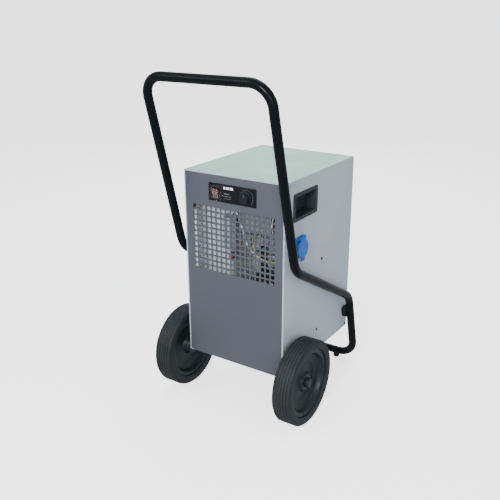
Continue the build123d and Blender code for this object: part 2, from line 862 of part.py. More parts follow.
pivot_y = front_y + 0.5
well_depth = 10
pivot_radius = 1.5
with BuildPart() as switch_body:
    with BuildSketch(face_plane):
        with Locations((rocker_x, rocker_z)):
            RectangleRounded(bezel_width, bezel_height, 2)
    extrude(amount=bezel_thickness)
    with BuildSketch(face_plane):
        with Locations((rocker_x, rocker_z)):
            Rectangle(bezel_width - 3.4, bezel_height - 3.4)
    extrude(amount=-switch_depth)
    with BuildSketch(face_plane.offset(bezel_thickness)):
        with Locations((rocker_x, rocker_z)):
            Rectangle(rocker_width + 0.8, rocker_height + 1.2)
    extrude(amount=-well_depth - bezel_thickness, mode=Mode.SUBTRACT)
    # bearing holes of the rocker's pivots
    with BuildSketch(Plane(origin=(rocker_x, pivot_y, rocker_z), z_dir=(1, 0, 0))):
        Circle(pivot_radius + 0.05)
    extrude(amount=bezel_width, both=True, mode=Mode.SUBTRACT)
save(switch_body, "switch_body")

# rocker: two flat pads that meet at a shallow angle over its pivot, resting on its off side
rocker_tilt = radians(8)
rocker_end = rocker_height / 2 - 0.4
rocker_section = Plane(
    origin=(rocker_x - rocker_width / 2, pivot_y, rocker_z),
    x_dir=(0, -cos(rocker_tilt), -sin(rocker_tilt)),
    z_dir=(1, 0, 0),
)
with BuildPart() as rocker:
    with BuildSketch(rocker_section):
        with BuildLine():
            Polyline(
                (-5, -3),
                (1.0, -rocker_end),
                (5.6, -rocker_end),
                (3.2, 0),
                (5.6, rocker_end),
                (1.0, rocker_end),
                (-5, 3),
                close=True,
            )
        make_face()
    extrude(amount=rocker_width)
    with BuildSketch(Plane(origin=(rocker_x, pivot_y, rocker_z), z_dir=(1, 0, 0))):
        Circle(pivot_radius)
    extrude(amount=rocker_width / 2 + 1.2, both=True)
save(rocker, "rocker")

cover_width, cover_height, cover_rise = 42, 45, 6.5
cover_wall = 1
cover_x = -53
with BuildPart() as switch_cover:
    with BuildSketch(face_plane):
        with Locations((cover_x, fascia_z - 0.5)):
            RectangleRounded(cover_width, cover_height, 3)
    extrude(amount=cover_rise)
    fillet(switch_cover.faces().sort_by(Axis.Y)[0].edges(), 2.5)
    with BuildSketch(face_plane):
        with Locations((cover_x, fascia_z - 0.5)):
            RectangleRounded(cover_width - 2 * cover_wall, cover_height - 2 * cover_wall, 2)
    extrude(amount=cover_rise - cover_wall, mode=Mode.SUBTRACT)
save(switch_cover, "switch_cover")

humidistat_plane = Plane(origin=(knob_x, front_y + 1.5, knob_z), x_dir=(1, 0, 0), z_dir=(0, -1, 0))
spindle_radius = 3
with BuildPart() as humidistat_body:
    with BuildSketch(humidistat_plane):
        Rectangle(46, 36)
    extrude(amount=-30)
    with BuildSketch(humidistat_plane):
        Circle(5)
    extrude(amount=3.5)
    with BuildSketch(face_plane):
        with Locations((knob_x, knob_z)):
            Circle(spindle_radius + 0.05)
    extrude(amount=-24, mode=Mode.SUBTRACT)
save(humidistat_body, "humidistat_body")

knob_radius = 18.5
knob_height = 14
knob_lift = 1.2
skirt_height = 5
with BuildPart() as humidistat_knob:
    with BuildSketch(face_plane.offset(knob_lift)):
        with Locations((knob_x, knob_z)):
            Circle(knob_radius)
    extrude(amount=skirt_height)
    with BuildSketch(face_plane.offset(knob_lift + skirt_height)):
        with Locations((knob_x, knob_z)):
            Circle(knob_radius - 3.5)
    extrude(amount=knob_height - skirt_height, taper=4)
    fillet(humidistat_knob.faces().sort_by(Axis.Y)[0].edges(), 1.2)
    with BuildSketch(face_plane.offset(knob_lift + knob_height - 1)):
        with Locations((knob_x, knob_z)):
            with PolarLocations(knob_radius - 4, 16):
                Circle(1.6)
    extrude(amount=-7, mode=Mode.SUBTRACT)
    # pointer line moulded across the top
    with BuildSketch(face_plane.offset(knob_lift + knob_height)):
        with Locations((knob_x, knob_z + 7)):
            Rectangle(1.6, 9)
    extrude(amount=-0.6, mode=Mode.SUBTRACT)
    with BuildSketch(face_plane.offset(knob_lift + 6)):
        with Locations((knob_x, knob_z)):
            Circle(spindle_radius)
    extrude(amount=-24)
save(humidistat_knob, "humidistat_knob")

# ---------------------------------------------------------------- side fittings
cup_depth = 36
cup_wall = 2
bezel_proud = 2.5
grip_inner_width = grip_width - 2 * grip_bezel
grip_inner_height = grip_height - 2 * grip_bezel
for side, side_name in ((-1, "left"), (1, "right")):
    with BuildPart() as grip_cup:
        bezel_plane = side_plane(side, half_width)
        centre = (side * grip_y, grip_z)
        with BuildSketch(bezel_plane):
            with Locations(centre):
                RectangleRounded(grip_width, grip_height, 7)
        extrude(amount=bezel_proud)
        outer_edges = grip_cup.edges().filter_by(Plane.YZ).sort_by(Axis.X)
        fillet(outer_edges[:8] if side < 0 else outer_edges[-8:], 1)
        with BuildSketch(bezel_plane):
            with Locations(centre):
                RectangleRounded(grip_inner_width + 2 * cup_wall, grip_inner_height + 2 * cup_wall, 6)
        extrude(amount=-cup_depth)
        with BuildSketch(bezel_plane.offset(bezel_proud)):
            with Locations(centre):
                RectangleRounded(grip_inner_width, grip_inner_height, 4)
        extrude(amount=-cup_depth - bezel_proud + cup_wall, mode=Mode.SUBTRACT)
    save(grip_cup, f"grip_cup_{side_name}")

flange_size = 57
flange_thickness = 4
collar_radius = 24.5
collar_height = 9
hinge_x = half_width + 8
hinge_z = socket_z + 29
pin_radius = 1.25
pin_bore = 1.3
knuckle_radius = 3.4
hinge_half = 20
barrel_depth = 34
recess_depth = 17
socket_face = side_plane(1, half_width)
socket_centre = (socket_y, socket_z)
hinge_plane = Plane(origin=(hinge_x, socket_y, hinge_z), x_dir=(1, 0, 0), z_dir=(0, 1, 0))
with BuildPart() as socket_body:
    with BuildSketch(socket_face):
        with Locations(socket_centre):
            RectangleRounded(flange_size, flange_size, 5)
    extrude(amount=flange_thickness)
    fillet(socket_body.faces().sort_by(Axis.X)[-1].edges(), 1)
    with BuildSketch(socket_face):
        with Locations(socket_centre):
            Circle(collar_radius)
    extrude(amount=collar_height)
    with BuildSketch(socket_face):
        with Locations(socket_centre):
            Circle(socket_barrel_radius)
    extrude(amount=-barrel_depth)
    # hinge lugs above the collar
    with BuildSketch(hinge_plane):
        Circle(knuckle_radius)
        with Locations((-hinge_x + half_width + 1, 0)):
            Rectangle(hinge_x - half_width - 1, 2 * knuckle_radius, align=(Align.MIN, Align.CENTER))
        Circle(pin_bore, mode=Mode.SUBTRACT)
    extrude(amount=hinge_half, both=True)
    with BuildSketch(hinge_plane):
        with Locations((2.5, 0)):
            Rectangle(14, 12)
    extrude(amount=14.2, both=True, mode=Mode.SUBTRACT)
    with BuildSketch(socket_face.offset(collar_height)):
        with Locations(socket_centre):
            Circle(19.5)
    extrude(amount=-recess_depth, mode=Mode.SUBTRACT)
    with BuildSketch(socket_face.offset(collar_height - recess_depth)):
        with Locations(socket_centre):
            with GridLocations(19, 0, 2, 1):
                Circle(2.6)
    extrude(amount=-18, mode=Mode.SUBTRACT)
save(socket_body, "socket_body")

with BuildPart() as socket_hinge_pin:
    with BuildSketch(hinge_plane):
        Circle(pin_radius)
    extrude(amount=hinge_half, both=True)
save(socket_hinge_pin, "socket_hinge_pin")

lid_gap = 0.5
lid_thickness = 4.5
lid_radius = 27.5
with BuildPart() as socket_lid:
    with BuildSketch(socket_face.offset(collar_height + lid_gap)):
        with Locations((socket_y, socket_z - 1)):
            Circle(lid_radius)
        with Locations((socket_y, socket_z + 16)):
            Rectangle(26, 20)
        with Locations((socket_y, socket_z - 30)):
            RectangleRounded(18, 14, 3)
    extrude(amount=lid_thickness)
    fillet(socket_lid.faces().sort_by(Axis.X)[-1].edges(), 1.8)
    # hinge knuckle
    with BuildSketch(hinge_plane):
        Circle(knuckle_radius)
        with Locations((half_width + collar_height + lid_gap - hinge_x + 2, 4)):
            Rectangle(3.6, 8)
        Circle(pin_bore, mode=Mode.SUBTRACT)
    extrude(amount=12.8, both=True)
    with BuildSketch(hinge_plane):
        Circle(pin_bore)
    extrude(amount=14, both=True, mode=Mode.SUBTRACT)
save(socket_lid, "socket_lid")

gland_plane = Plane(origin=(gland_x, rear_y, gland_z), x_dir=(-1, 0, 0), z_dir=(0, 1, 0))
with BuildPart() as cable_gland:
    with BuildSketch(gland_plane):
        RegularPolygon(radius=12, side_count=6, major_radius=False)
    extrude(amount=7)
    with BuildSketch(gland_plane.offset(7)):
        Circle(11)
    extrude(amount=15, taper=9)
    fillet(cable_gland.faces().sort_by(Axis.Y)[-1].edges(), 2)
    with BuildSketch(gland_plane):
        Circle(gland_hole_radius - 0.2)
    extrude(amount=-12)
    # locknut behind the panel
    with BuildSketch(gland_plane.offset(-sheet)):
        RegularPolygon(radius=12.5, side_count=6, major_radius=False)
    extrude(amount=-5)
    with BuildSketch(gland_plane.offset(24)):
        Circle(4.5)
    extrude(amount=-40, mode=Mode.SUBTRACT)
save(cable_gland, "cable_gland")

screw_head_radius = 4
screw_head_height = 2
with BuildPart() as housing_screws:
    for side in (-1, 1):
        outer = side_plane(side, half_width)
        places = [(side * y, z) for y, z in side_screws]
        with BuildSketch(outer):
            with Locations(places):
                Circle(screw_head_radius)
        extrude(amount=screw_head_height)
        with BuildSketch(outer):
            with Locations(places):
                Circle(screw_radius)
        extrude(amount=-sheet)
        with BuildSketch(outer.offset(screw_head_height)):
            with Locations(places):
                Rectangle(4, 0.9)
                Rectangle(0.9, 4)
        extrude(amount=-1, mode=Mode.SUBTRACT)
save(housing_screws, "housing_screws")

# ---------------------------------------------------------------- water tank
tank_half = 129
tank_front, tank_rear = 10, rear_y - 2.5
tank_bottom = base_top + 0.6
tank_wall = 2.5
face_half = tank_opening_width / 2 - 1
face_bottom, face_top = tank_opening_bottom + 0.8, tank_opening_top - 1
float_x, float_y, float_z = -tank_half + tank_wall + 8, 60, 292
float_arm_length = 62
float_pin_radius = 2.5
float_plane = Plane(origin=(float_x - 3, float_y, float_z), x_dir=(0, 1, 0), z_dir=(1, 0, 0))
pull_z = 296
pull_width, pull_depth, pull_height = 120, 26, 10
pull_gap_width, pull_gap_depth = 96, 16
with BuildPart() as water_tank:
    with Locations((0, tank_front, tank_bottom)):
        Box(
            2 * tank_half,
            tank_rear - tank_front + 0.5,
            tank_top - tank_bottom,
            align=(Align.CENTER, Align.MIN, Align.MIN),
        )
    fillet(water_tank.edges().filter_by(Axis.Z).sort_by(Axis.Y)[:2], 12)
    with Locations((0, tank_front + tank_wall, tank_bottom + tank_wall)):
        Box(
            2 * (tank_half - tank_wall),
            tank_rear - tank_front - 2 * tank_wall,
            tank_top,
            align=(Align.CENTER, Align.MIN, Align.MIN),
            mode=Mode.SUBTRACT,
        )
    with BuildSketch(rear_plane):
        with Locations((0, face_bottom)):
            Rectangle(2 * face_half, face_top - face_bottom, align=(Align.CENTER, Align.MIN))
    extrude(amount=-tank_wall)
    # pull handle on the outside
    with BuildSketch(Plane.XY.offset(pull_z - pull_height / 2)):
        with Locations((0, rear_y)):
            Rectangle(pull_width, pull_depth, align=(Align.CENTER, Align.MIN))
            Rectangle(
                pull_gap_width,
                pull_gap_depth,
                align=(Align.CENTER, Align.MIN),
                mode=Mode.SUBTRACT,
            )
    extrude(amount=pull_height)
    fillet(water_tank.edges().filter_by(Axis.Z).sort_by(Axis.Y)[-2:], 8)
    # pivot pin of the float
    with BuildSketch(Plane(origin=(-tank_half + tank_wall - 0.5, float_y, float_z), z_dir=(1, 0, 0))):
        Circle(float_pin_radius)
    extrude(amount=14)
save(water_tank, "water_tank")

with BuildPart() as tank_float:
    with BuildSketch(float_plane):
        Circle(6)
        Rectangle(float_arm_length, 5, align=(Align.MIN, Align.CENTER))
        Circle(float_pin_radius + 0.05, mode=Mode.SUBTRACT)
    extrude(amount=5)
    with BuildSketch(float_plane):
        with Locations((float_arm_length + 12, -8)):
            RectangleRounded(34, 26, 6)
    extrude(amount=40)
save(tank_float, "tank_float")

with BuildPart() as tank_switch:
    with Locations((float_x + 14, float_y + float_arm_length + 12, deck_z - 0.1)):
        Box(28, 16, 12, align=(Align.CENTER, Align.CENTER, Align.MAX))
    fillet(tank_switch.edges().filter_by(Axis.Z), 2)
save(tank_switch, "tank_switch")

# ---------------------------------------------------------------- wheels and axle
bush_radius = 12.5
hub_outer = 24
hub_inner_end, hub_outer_end = 2, 41
rim_inner, rim_outer = 88, 95
lip_radius = 100
lip_in, lip_out = 6, 49
lip_thick = 3
web_start, web_end = 26, 31
shoulder = 6
groove_width = 2
groove_depth = 2
groove_count = 5

axle_end_x = wheel_inner_x + wheel_width - 6
with BuildPart() as axle:
    with BuildSketch(Plane(origin=(0, axle_y, axle_z), z_dir=(1, 0, 0))):
        Circle(axle_radius)
    extrude(amount=axle_end_x, both=True)
    chamfer(axle.edges().filter_by(GeomType.CIRCLE), 1)
save(axle, "axle")

cheek_thickness = 3
cheek_half, cheek_tip_half = 32, 16
with BuildPart() as axle_brackets:
    for side in (-1, 1):
        cheek = Plane(origin=(side * axle_bracket_x, axle_y, 0), x_dir=(0, 1, 0), z_dir=(1, 0, 0))
        with BuildSketch(cheek):
            with BuildLine():
                Polyline(
                    (-cheek_half, housing_bottom),
                    (cheek_half, housing_bottom),
                    (cheek_tip_half, axle_z - 17),
                    (-cheek_tip_half, axle_z - 17),
                    close=True,
                )
            make_face()
            with Locations((0, axle_z)):
                Circle(axle_radius + 0.05, mode=Mode.SUBTRACT)
        extrude(amount=cheek_thickness / 2, both=True)
        with BuildSketch(Plane.XY.offset(housing_bottom)):
            with Locations((side * (axle_bracket_x - bracket_flange / 2), axle_y)):
                Rectangle(bracket_flange, 2 * cheek_half)
                with GridLocations(0, bracket_bolt_pitch, 1, 2):
                    Circle(base_hole_radius, mode=Mode.SUBTRACT)
        extrude(amount=-cheek_thickness)
        # the flange is relieved over the axle
        with BuildSketch(Plane(origin=(side * axle_bracket_x, axle_y, axle_z), z_dir=(side, 0, 0))):
            Circle(axle_radius + 0.05)
        extrude(amount=-40, mode=Mode.SUBTRACT)
save(axle_brackets, "axle_brackets")

cap_start = hub_outer_end + gap
cap_radius = 14
cap_end_gap = 2.5
with BuildPart() as axle_caps:
    for side in (-1, 1):
        start_x = wheel_inner_x + cap_start
        cap_plane = Plane(origin=(side * start_x, axle_y, axle_z), z_dir=(side, 0, 0))
        with BuildSketch(cap_plane):
            Circle(cap_radius)
        extrude(amount=wheel_width - cap_start - cap_end_gap)
        face = axle_caps.faces().sort_by(Axis.X)[-1 if side > 0 else 0]
        fillet(face.edges(), 4)
        with BuildSketch(cap_plane):
            Circle(axle_radius + 0.05)
        extrude(amount=axle_end_x - start_x + 0.2, mode=Mode.SUBTRACT)
save(axle_caps, "axle_caps")

for side, side_name in ((-1, "left"), (1, "right")):
    # local X of this plane is the distance from the wheel's inner face, local Y the radius
    section = Plane(origin=(side * wheel_inner_x, axle_y, axle_z), x_dir=(side, 0, 0), z_dir=(0, -side, 0))
    spin_axis = Axis((0, axle_y, axle_z), (1, 0, 0))
    with BuildPart() as wheel_rim:
        with BuildSketch(section):
            with Locations((lip_in, rim_inner)):
                Rectangle(lip_out - lip_in, rim_outer - rim_inner, align=(Align.MIN, Align.MIN))
            with Locations((lip_in, rim_inner), (lip_out - lip_thick, rim_inner)):
                Rectangle(lip_thick, lip_radius - rim_inner, align=(Align.MIN, Align.MIN))
            with Locations((web_start, hub_outer - 2)):
                Rectangle(web_end - web_start, rim_inner - hub_outer + 4, align=(Align.MIN, Align.MIN))
            with Locations((hub_inner_end, bush_radius + 0.05)):
                Rectangle(
                    hub_outer_end - hub_inner_end,
                    hub_outer - bush_radius - 0.05,
                    align=(Align.MIN, Align.MIN),
                )
        revolve(axis=spin_axis)
    save(wheel_rim, f"wheel_rim_{side_name}")

    with BuildPart() as tyre:
        with BuildSketch(section) as tyre_section:
            with Locations((0, lip_radius + 0.2)):
                Rectangle(wheel_width, wheel_radius - lip_radius - 0.2, align=(Align.MIN, Align.MIN))
            fillet(tyre_section.vertices().sort_by(Axis.Z)[-2:], shoulder)
            with Locations((lip_in + lip_thick + 0.2, rim_outer + 0.1)):
                Rectangle(
                    lip_out - lip_in - 2 * lip_thick - 0.4,
                    lip_radius - rim_outer + 1,
                    align=(Align.MIN, Align.MIN),
                )
            for groove in range(groove_count):
                groove_x = wheel_width * (groove + 1) / (groove_count + 1)
                with Locations((groove_x, wheel_radius)):
                    Rectangle(groove_width, 2 * groove_depth, mode=Mode.SUBTRACT)
        revolve(axis=spin_axis)
    save(tyre, f"tyre_{side_name}")

    with BuildPart() as wheel_bush:
        with BuildSketch(section):
            with Locations((hub_inner_end, axle_radius + 0.05)):
                Rectangle(
                    hub_outer_end - hub_inner_end,
                    bush_radius - axle_radius - 0.05,
                    align=(Align.MIN, Align.MIN),
                )
        revolve(axis=spin_axis)
    save(wheel_bush, f"wheel_bush_{side_name}")
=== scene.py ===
"""Looks of the wheeled dehumidifier: finished surfaces, fine pieces, light and camera.

Everything is in metres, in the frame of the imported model: X across the machine,
Y from the handle side to the back, Z up, origin on the floor.
"""
import json
import math
import random

import bmesh
import bpy
from mathutils import Matrix, Vector


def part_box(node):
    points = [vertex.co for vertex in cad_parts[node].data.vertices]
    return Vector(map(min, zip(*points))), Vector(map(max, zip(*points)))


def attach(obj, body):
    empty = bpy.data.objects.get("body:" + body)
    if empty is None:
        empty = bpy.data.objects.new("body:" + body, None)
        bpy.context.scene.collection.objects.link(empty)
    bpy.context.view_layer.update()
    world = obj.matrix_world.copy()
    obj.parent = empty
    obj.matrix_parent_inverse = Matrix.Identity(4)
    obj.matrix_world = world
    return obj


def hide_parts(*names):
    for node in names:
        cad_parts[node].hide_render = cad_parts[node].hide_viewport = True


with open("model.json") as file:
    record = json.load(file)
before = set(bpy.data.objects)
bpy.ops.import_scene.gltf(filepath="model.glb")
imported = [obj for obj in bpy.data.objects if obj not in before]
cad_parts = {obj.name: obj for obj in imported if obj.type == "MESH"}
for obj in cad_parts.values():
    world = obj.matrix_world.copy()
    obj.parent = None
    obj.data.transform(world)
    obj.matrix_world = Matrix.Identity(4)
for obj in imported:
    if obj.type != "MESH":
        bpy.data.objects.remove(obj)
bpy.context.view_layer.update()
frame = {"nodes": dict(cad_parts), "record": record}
nodes = frame["nodes"]
body_of = {node: body for body, members in frame["record"]["behaviour"]["bodies"].items() for node in members}
slot_of = {part["node"]: part["material_slot"] for part in frame["record"]["subparts"]}
mm = 0.001


# ---------------------------------------------------------------- shader helpers
def srgb(red, green, blue):
    """Linear colour from 8-bit display values."""
    def linear(value):
        value = value / 255
        return value / 12.92 if value <= 0.04045 else ((value + 0.055) / 1.055) ** 2.4
    return (linear(red), linear(green), linear(blue), 1.0)


def scaled(colour, factor):
    """The colour made lighter or darker by a factor."""
    return tuple(min(1.0, channel * factor) for channel in colour[:3]) + (1.0,)


class Shader:
    """A Principled material with short calls for the textures that feed it."""

    def __init__(self, name, **sockets):
        self.material = bpy.data.materials.new(name)
        self.material.use_nodes = True
        self.tree = self.material.node_tree
        self.surface = self.tree.nodes["Principled BSDF"]
        for socket, value in sockets.items():
            self.surface.inputs[socket.replace("_", " ")].default_value = value
        self.place = self.node("ShaderNodeTexCoord").outputs["Object"]

    def node(self, kind, **settings):
        made = self.tree.nodes.new(kind)
        for key, value in settings.items():
            setattr(made, key, value)
        return made

    def link(self, output, target):
        self.tree.links.new(output, target)

    def stretched(self, scale):
        """The object's own coordinates, scaled by (x, y, z)."""
        mapping = self.node("ShaderNodeMapping")
        mapping.inputs["Scale"].default_value = scale
        self.link(self.place, mapping.inputs["Vector"])
        return mapping.outputs["Vector"]

    def noise(self, scale, detail=3.0, rough=0.55, vector=None):
        made = self.node("ShaderNodeTexNoise")
        made.inputs["Scale"].default_value = scale
        made.inputs["Detail"].default_value = detail
        made.inputs["Roughness"].default_value = rough
        self.link(vector or self.place, made.inputs["Vector"])
        return made.outputs["Fac"]

    def cells(self, scale, vector=None):
        made = self.node("ShaderNodeTexVoronoi")
        made.inputs["Scale"].default_value = scale
        self.link(vector or self.place, made.inputs["Vector"])
        return made.outputs["Color"]

    def ramp(self, value, *stops):
        """Colours at positions along value."""
        made = self.node("ShaderNodeValToRGB")
        elements = made.color_ramp.elements
        while len(elements) < len(stops):
            elements.new(0.5)
        for element, (position, colour) in zip(elements, stops):
            element.position = position
            element.color = colour
        self.link(value, made.inputs["Fac"])
        return made.outputs["Color"]

    def blend(self, first, second, share):
        """Mix two colour outputs by a grey output."""
        made = self.node("ShaderNodeMix", data_type="RGBA")
        self.link(share, made.inputs[0])
        self.link(first, made.inputs[6])
        self.link(second, made.inputs[7])
        return made.outputs[2]

    def remapped(self, value, **limits):
        """Map a value from From_Min..From_Max onto To_Min..To_Max, which are 0..1 unless given."""
        made = self.node("ShaderNodeMapRange")
        for limit, amount in limits.items():
            made.inputs[limit.replace("_", " ")].default_value = amount
        self.link(value, made.inputs["Value"])
        return made.outputs["Result"]

    def spread(self, value, low, high):
        """Map the middle of a noise onto low..high."""
        return self.remapped(value, From_Min=0.3, From_Max=0.7, To_Min=low, To_Max=high)

    def colour(self, output):
        self.link(output, self.surface.inputs["Base Color"])

    def roughness(self, output):
        self.link(output, self.surface.inputs["Roughness"])

    def bump(self, height, depth, strength=1.0):
        made = self.node("ShaderNodeBump")
        made.inputs["Strength"].default_value = strength
        made.inputs["Distance"].default_value = depth
        self.link(height, made.inputs["Height"])
        if self.surface.inputs["Normal"].is_linked:
            self.link(self.surface.inputs["Normal"].links[0].from_socket, made.inputs["Normal"])
        self.link(made.outputs["Normal"], self.surface.inputs["Normal"])


def sprayed_skin(made, roughness, peel):
    """Rubbed patches and fine orange peel of a sprayed coat."""
    made.roughness(made.spread(made.noise(14.0, 4.0), roughness - 0.05, roughness + 0.07))
    made.bump(made.noise(430.0, 2.0, 0.5), peel, 0.5)


def powder_coat(name, colour, roughness, peel=0.00012, coat=0.0, specular=0.45):
    """Sprayed paint: fine orange peel, faint cloudiness and a little dust and rubbing."""
    made = Shader(name, Coat_Weight=coat, Coat_Roughness=0.18, Specular_IOR_Level=specular)
    cloud = made.noise(5.0, 2.0)
    fine = made.noise(260.0, 2.0)
    tone = made.ramp(cloud, (0.25, scaled(colour, 0.93)), (0.75, scaled(colour, 1.06)))
    speck = made.ramp(made.noise(620.0, 1.0), (0.0, scaled(colour, 0.94)), (1.0, scaled(colour, 1.07)))
    made.colour(made.blend(tone, speck, made.spread(fine, 0.25, 0.55)))
    sprayed_skin(made, roughness, peel)
    return made.material


def lid_coat_with_painted_green_top(name, green_lit_top_colour, edge_colour, roughness):
    """Lid paint, the same grey-blue as the side panels on the bent-down edge, with the flat top painted
    greener as painted light from a greenish lamp above.
    """
    made = Shader(name, Specular_IOR_Level=0.22)
    height = made.node("ShaderNodeSeparateXYZ")
    made.link(made.place, height.inputs["Vector"])
    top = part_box("top_lid")[1].z
    bend_low, bend_high = top - 1.4 * mm, top - 0.3 * mm
    green_light_share = made.remapped(height.outputs["Z"], From_Min=bend_low, From_Max=bend_high)
    cloud = made.noise(4.0, 3.0)
    # painted light: the greener top colour stands for greenish light falling on the flat top, not for a
    # different paint
    sheet = made.ramp(cloud, (0.25, scaled(green_lit_top_colour, 0.94)), (0.75, scaled(green_lit_top_colour, 1.05)))
    edge = made.ramp(cloud, (0.25, scaled(edge_colour, 0.96)), (0.75, scaled(edge_colour, 1.04)))
    made.colour(made.blend(edge, sheet, green_light_share))
    sprayed_skin(made, roughness, 0.00008)
    return made.material


def moulded(name, colour, roughness, grain=0.00006, **sockets):
    """Moulded plastic: fine spark-eroded grain and slight shade changes."""
    made = Shader(name, **sockets)
    cloud = made.noise(18.0, 3.0)
    made.colour(made.ramp(cloud, (0.3, scaled(colour, 0.88)), (0.7, scaled(colour, 1.12))))
    made.roughness(made.spread(made.noise(60.0, 4.0), roughness - 0.06, roughness + 0.06))
    made.bump(made.noise(1300.0, 2.0, 0.6), grain, 0.6)
    return made.material


def rubbery(name, colour, dust, roughness):
    """Matt rubber with dust held in its texture."""
    made = Shader(name, Specular_IOR_Level=0.22)
    patches = made.noise(22.0, 5.0, 0.65)
    base = made.ramp(patches, (0.35, colour), (0.8, dust))
    specks = made.ramp(made.noise(420.0, 2.0), (0.35, scaled(colour, 0.8)), (0.75, scaled(colour, 1.5)))
    made.colour(made.blend(base, specks, made.spread(made.noise(90.0, 3.0), 0.2, 0.6)))
    made.roughness(made.spread(patches, roughness - 0.07, roughness + 0.1))
    made.bump(made.noise(700.0, 3.0, 0.6), 0.00012, 0.6)
    return made.material


def zinc(name, colour):
    """Galvanised sheet with a fine spangle."""
    made = Shader(name, Metallic=0.55)
    spangle = made.cells(130.0)
    grey = made.node("ShaderNodeRGBToBW")
    made.link(spangle, grey.inputs["Color"])
    made.colour(made.ramp(grey.outputs["Val"], (0.1, scaled(colour, 0.82)), (0.9, scaled(colour, 1.12))))
    made.roughness(made.spread(grey.outputs["Val"], 0.34, 0.5))
    made.bump(made.noise(300.0, 2.0), 0.00005, 0.4)
    return made.material


def drawn_metal(name, colour, tarnish, roughness):
    """Bare metal with fine scratches and patches of tarnish."""
    made = Shader(name, Metallic=1.0)
    patches = made.noise(35.0, 4.0, 0.6)
    made.colour(made.ramp(patches, (0.35, colour), (0.75, tarnish)))
    scratches = made.noise(400.0, 3.0, 0.6)
    made.roughness(made.spread(scratches, roughness - 0.08, roughness + 0.12))
    made.bump(scratches, 0.00003, 0.4)
    return made.material


def fin_foil(name, colour):
    """Thin aluminium foil, matt from its coating, with faint stains."""
    made = Shader(name, Metallic=0.1, Specular_IOR_Level=0.6)
    stains = made.noise(28.0, 4.0, 0.6)
    made.colour(made.ramp(stains, (0.35, scaled(colour, 0.93)), (0.7, colour)))
    lines = made.noise(300.0, 2.0, 0.6, made.stretched((1.0, 1.0, 0.1)))
    made.roughness(made.spread(lines, 0.38, 0.56))
    made.bump(lines, 0.00003, 0.4)
    return made.material


def clear_film(name):
    """Soft clear plastic, a little cloudy."""
    tint = (0.80, 0.83, 0.84, 1.0)
    made = Shader(name, Transmission_Weight=1.0, IOR=1.2, Alpha=0.3, Base_Color=tint)
    made.roughness(made.spread(made.noise(70.0, 3.0), 0.03, 0.10))
    made.bump(made.noise(90.0, 2.0), 0.0001, 0.2)
    return made.material


def lamp_red(name):
    """Translucent red plastic lit from behind."""
    made = Shader(
        name, Coat_Weight=0.5, Coat_Roughness=0.08, Subsurface_Weight=0.2, Emission_Strength=0.02,
        Subsurface_Radius=(0.004, 0.001, 0.0005),
    )
    patches = made.noise(70.0, 2.0)
    made.colour(made.ramp(patches, (0.3, srgb(46, 17, 11)), (0.7, srgb(66, 26, 18))))
    glow = made.ramp(patches, (0.3, srgb(120, 40, 20)), (0.7, srgb(170, 66, 34)))
    made.link(glow, made.surface.inputs["Emission Color"])
    made.roughness(made.spread(made.noise(40.0, 3.0), 0.22, 0.34))
    return made.material


materials = {
    "dark_panel": powder_coat("dark_panel_coat", srgb(68, 72, 79), 0.48, specular=0.3),
    "light_panel": powder_coat("light_panel_coat", srgb(163, 173, 184), 0.44, specular=0.35),
    # the lid's greener top colour is painted light, not a second paint
    "lid_paint": lid_coat_with_painted_green_top("lid_coat_with_painted_green_top", srgb(126, 184, 160), srgb(163, 173, 182), 0.38),
    "black_tube": powder_coat("tube_coat", srgb(7, 12, 14), 0.30, peel=0.00004, specular=0.09),
    "galvanised": zinc("zinc_sheet", srgb(214, 219, 223)),
    "steel": drawn_metal("zinc_plated_steel", srgb(176, 178, 178), srgb(130, 130, 126), 0.34),
    "black_plastic": moulded("black_moulding", srgb(15, 19, 22), 0.44, Specular_IOR_Level=0.2),
    "gloss_black": moulded("fascia_plastic", srgb(10, 12, 17), 0.34, grain=0.00003, Specular_IOR_Level=0.18),
    "clear_cover": clear_film("clear_boot"),
    "rocker_red": lamp_red("rocker_plastic"),
    "blue_plastic": moulded("blue_moulding", srgb(33, 97, 180), 0.40, Specular_IOR_Level=0.25),
    "rubber": rubbery("foot_rubber", srgb(16, 17, 19), srgb(46, 46, 45), 0.7),
    "tyre_rubber": rubbery("tyre_rubber_matt", srgb(25, 31, 33), srgb(48, 55, 57), 0.62),
    "rim_plastic": moulded("rim_moulding", srgb(27, 35, 37), 0.38, grain=0.00008, Specular_IOR_Level=0.2),
    "bush_nylon": moulded("nylon_bush", srgb(214, 210, 198), 0.45),
    "aluminium_fins": fin_foil("fin_foil", srgb(247, 251, 255)),
    "copper": drawn_metal("copper_tube", srgb(122, 98, 84), srgb(72, 62, 56), 0.40),
    "compressor_paint": powder_coat("compressor_enamel", srgb(12, 13, 15), 0.28, coat=0.4),
    "capacitor_grey": moulded("capacitor_case", srgb(126, 142, 150), 0.42),
    "red_plastic": moulded("red_moulding", srgb(150, 66, 56), 0.42),
    "box_grey": moulded("box_moulding", srgb(112, 116, 121), 0.5),
    "wire_blue": moulded("blue_insulation", srgb(58, 78, 124), 0.45),
    "white_plastic": moulded("white_moulding", srgb(222, 224, 222), 0.45),
    "tank_plastic": moulded("tank_moulding", srgb(58, 61, 65), 0.48),
    "guard_wire": powder_coat("guard_coat", srgb(16, 17, 19), 0.38, peel=0.00004),
}
screw_steel = drawn_metal("dark_zinc_steel", srgb(84, 84, 86), srgb(56, 56, 58), 0.30)
grip_black = moulded("grip_moulding", srgb(44, 52, 57), 0.46, Specular_IOR_Level=0.1)
special_finishes = {"housing_screws": screw_steel, "grip_cup_left": grip_black, "grip_cup_right": grip_black}
ink_grain = 0.00001
mark_white = moulded("printed_white", srgb(226, 228, 230), 0.6, grain=ink_grain)
mark_grey = moulded("printed_grey", srgb(140, 143, 146), 0.6, grain=ink_grain)
mark_faint = moulded("printed_dark_grey", srgb(78, 82, 86), 0.6, grain=ink_grain)
